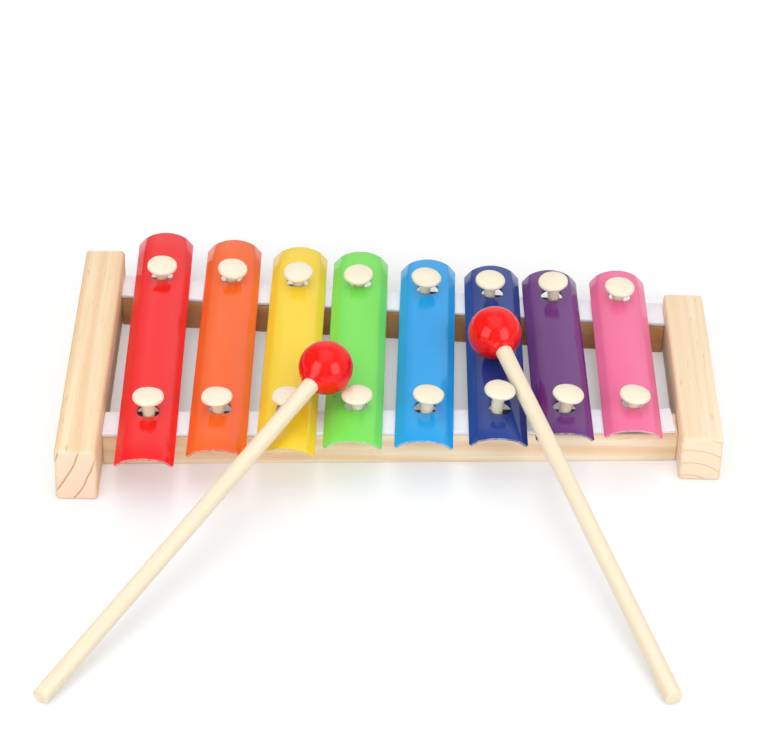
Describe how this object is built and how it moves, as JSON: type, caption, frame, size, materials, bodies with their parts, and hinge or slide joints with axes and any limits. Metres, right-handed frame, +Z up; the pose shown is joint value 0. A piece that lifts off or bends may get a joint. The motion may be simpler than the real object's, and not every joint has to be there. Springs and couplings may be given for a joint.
{
  "type": "toy xylophone",
  "caption": "Toy xylophone: pine end blocks and tapering rails with foam strips carry arched painted metal bars held by cream plastic pegs, with red-ball mallets resting on top",
  "frame": {"origin": "middle of the footprint on the surface the toy stands on, the mallets and the bars' overhang included", "axes": "+X runs from the longest bar to the shortest, +Y from the player's side to the back, +Z up"},
  "size_m": [0.25, 0.2678, 0.0436],
  "materials": {
    "pine": "sanded bare pine with rounded edges",
    "dowel_wood": "plain dowel, hidden in the joint",
    "foam": "soft white foam strip",
    "peg_plastic": "moulded cream plastic",
    "stick_wood": "plain pale dowel",
    "red_lacquer": "glossy red lacquer on a turned bead",
    "paint_red": "glossy red paint on arched sheet metal, cut ends bright",
    "paint_orange": "glossy orange paint on arched sheet metal, cut ends bright",
    "paint_yellow": "glossy yellow paint on arched sheet metal, cut ends bright",
    "paint_green": "glossy green paint on arched sheet metal, cut ends bright",
    "paint_blue": "glossy blue paint on arched sheet metal, cut ends bright",
    "paint_indigo": "glossy indigo paint on arched sheet metal, cut ends bright",
    "paint_purple": "glossy purple paint on arched sheet metal, cut ends bright",
    "paint_pink": "glossy pink paint on arched sheet metal, cut ends bright"
  },
  "bodies": {
    "frame": {"left_end_block": "pine", "right_end_block": "pine", "front_rail": "pine", "back_rail": "pine", "front_foam_strip": "foam", "back_foam_strip": "foam", "dowel_front_left": "dowel_wood", "dowel_front_right": "dowel_wood", "dowel_back_left": "dowel_wood", "dowel_back_right": "dowel_wood", "peg_front_1": "peg_plastic", "peg_front_2": "peg_plastic", "peg_front_3": "peg_plastic", "peg_front_4": "peg_plastic", "peg_front_5": "peg_plastic", "peg_front_6": "peg_plastic", "peg_front_7": "peg_plastic", "peg_front_8": "peg_plastic", "peg_back_1": "peg_plastic", "peg_back_2": "peg_plastic", "peg_back_3": "peg_plastic", "peg_back_4": "peg_plastic", "peg_back_5": "peg_plastic", "peg_back_6": "peg_plastic", "peg_back_7": "peg_plastic", "peg_back_8": "peg_plastic"},
    "bar_1": {"bar_1_red": "paint_red"},
    "bar_2": {"bar_2_orange": "paint_orange"},
    "bar_3": {"bar_3_yellow": "paint_yellow"},
    "bar_4": {"bar_4_green": "paint_green"},
    "bar_5": {"bar_5_blue": "paint_blue"},
    "bar_6": {"bar_6_indigo": "paint_indigo"},
    "bar_7": {"bar_7_purple": "paint_purple"},
    "bar_8": {"bar_8_pink": "paint_pink"},
    "mallet_left": {"mallet_left_stick": "stick_wood", "mallet_left_ball": "red_lacquer"},
    "mallet_right": {"mallet_right_stick": "stick_wood", "mallet_right_ball": "red_lacquer"}
  },
  "joints": [
    {"name": "bar_1_lift", "type": "slide", "parent": "frame", "child": "bar_1", "axis": [0, 0, 1], "range_m": [0, 0.0022]},
    {"name": "bar_2_lift", "type": "slide", "parent": "frame", "child": "bar_2", "axis": [0, 0, 1], "range_m": [0, 0.0022]},
    {"name": "bar_3_lift", "type": "slide", "parent": "frame", "child": "bar_3", "axis": [0, 0, 1], "range_m": [0, 0.0022]},
    {"name": "bar_4_lift", "type": "slide", "parent": "frame", "child": "bar_4", "axis": [0, 0, 1], "range_m": [0, 0.0022]},
    {"name": "bar_5_lift", "type": "slide", "parent": "frame", "child": "bar_5", "axis": [0, 0, 1], "range_m": [0, 0.0022]},
    {"name": "bar_6_lift", "type": "slide", "parent": "frame", "child": "bar_6", "axis": [0, 0, 1], "range_m": [0, 0.0022]},
    {"name": "bar_7_lift", "type": "slide", "parent": "frame", "child": "bar_7", "axis": [0, 0, 1], "range_m": [0, 0.0022]},
    {"name": "bar_8_lift", "type": "slide", "parent": "frame", "child": "bar_8", "axis": [0, 0, 1], "range_m": [0, 0.0022]},
    {"name": "mallet_left_pick_up", "type": "slide", "parent": "frame", "child": "mallet_left", "axis": [0, 0, 1], "range_m": [0, 0.06]},
    {"name": "mallet_right_pick_up", "type": "slide", "parent": "bar_6", "child": "mallet_right", "axis": [0, 0, 1], "range_m": [0, 0.06]}
  ]
}
